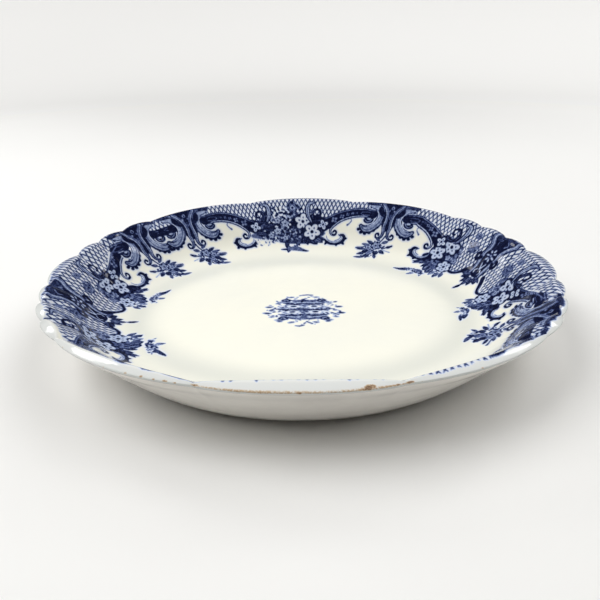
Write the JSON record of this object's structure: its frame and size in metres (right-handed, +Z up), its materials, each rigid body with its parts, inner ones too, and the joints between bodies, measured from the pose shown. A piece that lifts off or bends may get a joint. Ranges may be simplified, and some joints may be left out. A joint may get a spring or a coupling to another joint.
{
  "type": "oval serving platter",
  "caption": "Oval glazed earthenware platter: flat well, upswept wall, lobed rolled lip, oval foot ring, blue underglaze border and centre print.",
  "frame": {"origin": "centre of the foot's flat underside, on the table", "axes": "+X along the platter's length, +Y across it away from the viewer of the picture, +Z up out of the dish"},
  "size_m": [0.3628, 0.3056, 0.0482],
  "materials": {
    "earthenware": "fired biscuit, matt cream",
    "bare_foot": "unglazed, worn and slightly stained",
    "blue_print": "cobalt blue printed under the glaze, softly bled",
    "glazed_face": "clear glossy glaze over cream white, bluish where it pools",
    "glazed_back": "clear glossy glaze over cream white"
  },
  "bodies": {
    "root": {"dish_body": "earthenware", "foot_ring": "bare_foot", "border_print": "blue_print", "centre_print": "blue_print", "face_glaze": "glazed_face", "back_glaze": "glazed_back", "base_glaze": "glazed_back"}
  },
  "joints": []
}
